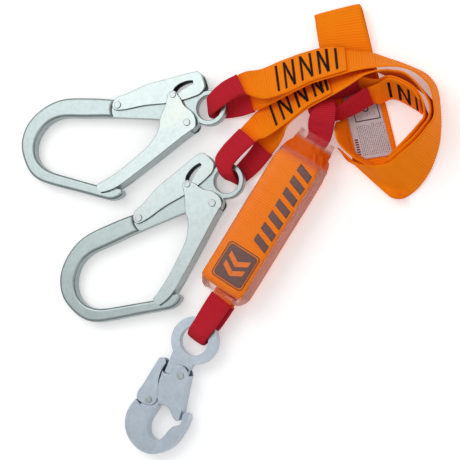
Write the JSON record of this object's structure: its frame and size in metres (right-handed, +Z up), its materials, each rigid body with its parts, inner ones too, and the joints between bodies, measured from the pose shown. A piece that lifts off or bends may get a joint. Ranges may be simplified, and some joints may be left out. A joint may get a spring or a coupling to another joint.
{
  "type": "shock absorbing lanyard",
  "caption": "Twin-leg webbing lanyard with two large scaffold hooks, red-sleeved eyes, a film-wrapped pack absorber and a snap hook, lying flat.",
  "frame": {"origin": "centre of the bounding box in plan, at the surface the lanyard lies on", "axes": "+Z up from the surface the lanyard lies on, +Y towards the folded end of the legs, +X towards the coiled webbing"},
  "size_m": [0.4067, 0.4109, 0.048],
  "materials": {
    "hook_steel": "zinc plated, satin",
    "snap_steel": "zinc plated, satin",
    "rivet_steel": "zinc plated",
    "spring_steel": "drawn wire",
    "webbing_fabric": "ribbed woven webbing",
    "sleeve_fabric": "tubular woven sleeve",
    "thread": "twisted thread",
    "film": "clear shrink film",
    "print_ink": "printed ink",
    "label_sheet": "smooth printed sheet"
  },
  "bodies": {
    "webbing": {"leg_a_webbing": "webbing_fabric", "leg_b_webbing": "webbing_fabric", "centre_webbing": "webbing_fabric", "leg_a_eye_sleeve": "sleeve_fabric", "leg_b_eye_sleeve": "sleeve_fabric", "centre_eye_sleeve": "sleeve_fabric", "label": "label_sheet", "leg_a_stitching": "thread", "leg_b_stitching": "thread", "centre_stitching": "thread"},
    "absorber": {"absorber_upper_webbing": "webbing_fabric", "absorber_upper_sleeve": "sleeve_fabric", "absorber_core": "webbing_fabric", "absorber_cover": "webbing_fabric", "absorber_film": "film", "absorber_print": "print_ink", "absorber_lower_webbing": "webbing_fabric", "absorber_lower_sleeve": "sleeve_fabric"},
    "hook_a": {"hook_a_body": "hook_steel", "hook_a_gate_rivet": "rivet_steel", "hook_a_lever_rivet": "rivet_steel", "hook_a_gate_spring": "spring_steel", "hook_a_lever_spring": "spring_steel"},
    "hook_a_gate": {"hook_a_gate": "hook_steel", "hook_a_lock_pin": "rivet_steel"},
    "hook_a_lever": {"hook_a_lock_lever": "hook_steel"},
    "hook_b": {"hook_b_body": "hook_steel", "hook_b_gate_rivet": "rivet_steel", "hook_b_lever_rivet": "rivet_steel", "hook_b_gate_spring": "spring_steel", "hook_b_lever_spring": "spring_steel"},
    "hook_b_gate": {"hook_b_gate": "hook_steel", "hook_b_lock_pin": "rivet_steel"},
    "hook_b_lever": {"hook_b_lock_lever": "hook_steel"},
    "snap_hook": {"snap_body": "snap_steel", "snap_gate_rivet": "rivet_steel", "snap_lever_rivet": "rivet_steel"},
    "snap_gate": {"snap_gate": "snap_steel"},
    "snap_lever": {"snap_lock_lever": "snap_steel"}
  },
  "joints": [
    {"name": "absorber_swing", "type": "hinge", "parent": "webbing", "child": "absorber", "pos_m": [0.10275, 0.1036, 0.01955], "axis": [-0.9404, -0.3401, 0], "range_deg": [0, 4]},
    {"name": "hook_a_swing", "type": "hinge", "parent": "webbing", "child": "hook_a", "pos_m": [0.00273, 0.11667, 0.01246], "axis": [-0.2924, 0.9563, 0], "range_deg": [0, 4]},
    {"name": "hook_b_swing", "type": "hinge", "parent": "webbing", "child": "hook_b", "pos_m": [0.01295, 0.0569, 0.01238], "axis": [-0.8387, 0.5446, 0], "range_deg": [0, 4]},
    {"name": "snap_hook_swing", "type": "hinge", "parent": "absorber", "child": "snap_hook", "pos_m": [-0.01483, -0.08736, 0.01166], "axis": [-0.809, 0.5878, 0], "range_deg": [0, 3]},
    {"name": "hook_a_gate_open", "type": "hinge", "parent": "hook_a", "child": "hook_a_gate", "pos_m": [-0.03136, 0.10074, 0.01149], "axis": [0.0296, -0.0023, -0.9996], "range_deg": [0, 36]},
    {"name": "hook_a_lever_press", "type": "hinge", "parent": "hook_a", "child": "hook_a_lever", "pos_m": [-0.10205, 0.12235, 0.00934], "axis": [0.0296, -0.0023, -0.9996], "range_deg": [0, 6]},
    {"name": "hook_b_gate_open", "type": "hinge", "parent": "hook_b", "child": "hook_b_gate", "pos_m": [-0.00658, 0.02383, 0.01149], "axis": [0.0277, 0.0105, -0.9996], "range_deg": [0, 36]},
    {"name": "hook_b_lever_press", "type": "hinge", "parent": "hook_b", "child": "hook_b_lever", "pos_m": [-0.07972, 0.01316, 0.00934], "axis": [0.0277, 0.0105, -0.9996], "range_deg": [0, 6]},
    {"name": "snap_gate_open", "type": "hinge", "parent": "snap_hook", "child": "snap_gate", "pos_m": [-0.03723, -0.13409, 0.00986], "axis": [0.0135, 0.0322, -0.9994], "range_deg": [0, 30]},
    {"name": "snap_lever_press", "type": "hinge", "parent": "snap_hook", "child": "snap_lever", "pos_m": [-0.06916, -0.15573, 0.00873], "axis": [0.0135, 0.0322, -0.9994], "range_deg": [0, 6]}
  ],
  "couplings": [
    {"joint": "hook_a_lever_press", "follows": "hook_a_gate_open", "ratio": 0.16667},
    {"joint": "hook_b_lever_press", "follows": "hook_b_gate_open", "ratio": 0.16667},
    {"joint": "snap_lever_press", "follows": "snap_gate_open", "ratio": 0.2}
  ]
}
